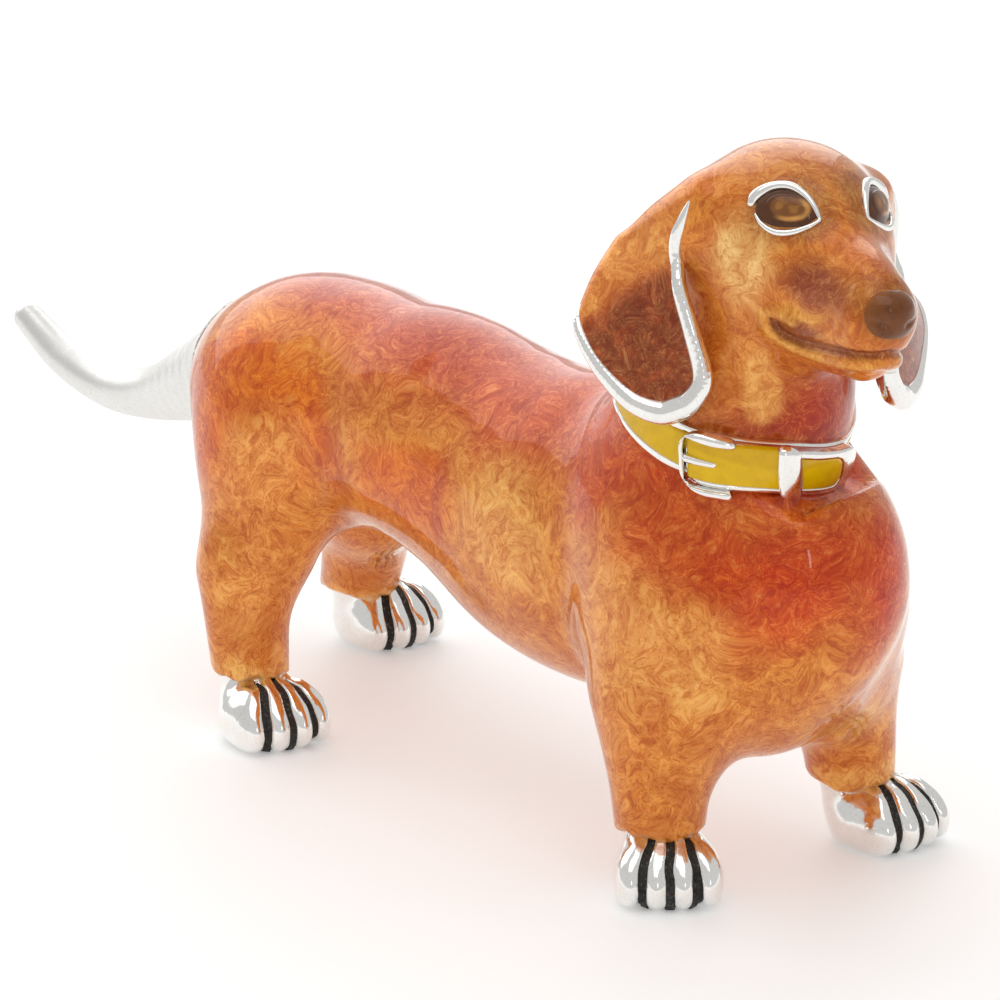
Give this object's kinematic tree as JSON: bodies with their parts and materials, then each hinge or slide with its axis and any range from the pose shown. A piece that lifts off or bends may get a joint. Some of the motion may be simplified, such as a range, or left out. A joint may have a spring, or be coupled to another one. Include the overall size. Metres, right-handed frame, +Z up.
{
  "type": "enamelled dog figurine",
  "caption": "Standing long-bodied dog figurine in cast silver with a translucent amber enamel coat, long ears, curved tail and a buckled collar.",
  "frame": {"origin": "on the ground, under the middle of the figurine's box", "axes": "+X from tail to nose, +Y to the dog's left, +Z up"},
  "size_m": [0.093, 0.0256, 0.0471],
  "materials": {
    "silver": "polished cast silver, soft mirror gloss with small casting ripples",
    "amber_enamel": "translucent pearly amber enamel, redder on the back and chest, under a smooth high gloss",
    "brown_enamel": "dark brown pearly enamel, high gloss",
    "yellow_enamel": "opaque mustard yellow enamel, high gloss",
    "black_fill": "matt black filled lines between the toes"
  },
  "bodies": {
    "root": {"trunk_casting": "silver", "trunk_enamel": "amber_enamel", "tail_casting": "silver", "head_casting": "silver", "head_enamel": "amber_enamel", "nose_enamel": "brown_enamel", "right_eye_rim": "silver", "left_eye_rim": "silver", "right_eye_enamel": "brown_enamel", "left_eye_enamel": "brown_enamel", "right_ear_casting": "silver", "left_ear_casting": "silver", "right_ear_enamel": "brown_enamel", "left_ear_enamel": "brown_enamel", "right_front_paw": "silver", "left_front_paw": "silver", "right_hind_paw": "silver", "left_hind_paw": "silver", "right_front_outer_toe_fill": "black_fill", "right_front_middle_toe_fill": "black_fill", "right_front_inner_toe_fill": "black_fill", "left_front_outer_toe_fill": "black_fill", "left_front_middle_toe_fill": "black_fill", "left_front_inner_toe_fill": "black_fill", "right_hind_outer_toe_fill": "black_fill", "right_hind_middle_toe_fill": "black_fill", "right_hind_inner_toe_fill": "black_fill", "left_hind_outer_toe_fill": "black_fill", "left_hind_middle_toe_fill": "black_fill", "left_hind_inner_toe_fill": "black_fill", "collar_band": "silver", "collar_enamel": "yellow_enamel", "strap_end": "silver", "strap_enamel": "yellow_enamel", "strap_tip_enamel": "yellow_enamel", "buckle_frame": "silver", "buckle_prong": "silver", "keeper_loop": "silver"}
  },
  "joints": []
}
